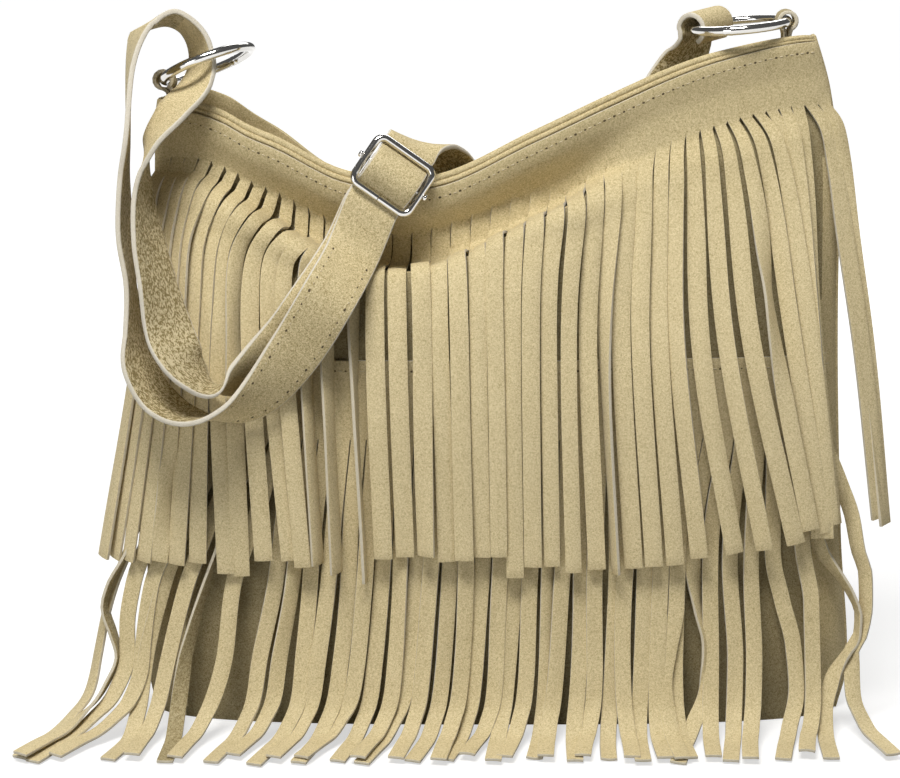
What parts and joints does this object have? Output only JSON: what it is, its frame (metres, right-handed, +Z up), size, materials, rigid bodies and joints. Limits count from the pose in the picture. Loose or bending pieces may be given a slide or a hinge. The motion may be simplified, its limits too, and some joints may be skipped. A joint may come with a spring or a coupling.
{
  "type": "fringed shoulder bag",
  "caption": "Soft slouched suede shoulder bag with two tiers of cut fringe over its front, open sagging top, ring-ended strap and sliding buckle, standing on its base.",
  "frame": {"origin": "on the floor, under the middle of the bag's base", "axes": "+Z up, the fringed front faces -Y, +X to the right as seen from the front"},
  "size_m": [0.3425, 0.108, 0.307],
  "materials": {
    "base_panel": "napped suede",
    "front_panel": "napped suede",
    "back_panel": "napped suede",
    "front_facing": "napped suede",
    "back_facing": "napped suede",
    "upper_fringe": "napped suede with pale cut edges",
    "lower_fringe": "napped suede with pale cut edges",
    "left_tab": "napped suede",
    "right_tab": "napped suede",
    "left_ring": "polished nickel plate",
    "right_ring": "polished nickel plate",
    "strap": "napped suede, rough on the inner side, with pale cut edges",
    "buckle_frame": "polished nickel plate",
    "buckle_pin": "polished nickel plate"
  },
  "bodies": {
    "bag": {"base_panel": "base_panel", "front_panel": "front_panel", "back_panel": "back_panel", "front_facing": "front_facing", "back_facing": "back_facing", "upper_fringe": "upper_fringe", "lower_fringe": "lower_fringe", "left_tab": "left_tab", "right_tab": "right_tab", "strap": "strap", "buckle_frame": "buckle_frame", "buckle_pin": "buckle_pin"},
    "left_ring": {"left_ring": "left_ring"},
    "right_ring": {"right_ring": "right_ring"}
  },
  "joints": [
    {"name": "left_ring_turn", "type": "hinge", "parent": "bag", "child": "left_ring", "pos_m": [-0.1214, 0, 0.283], "axis": [-0.3509, 0.2027, 0.9142], "continuous": true},
    {"name": "right_ring_turn", "type": "hinge", "parent": "bag", "child": "right_ring", "pos_m": [0.102, 0.001, 0.2992], "axis": [-0.101, -0.026, 0.9945], "continuous": true}
  ]
}
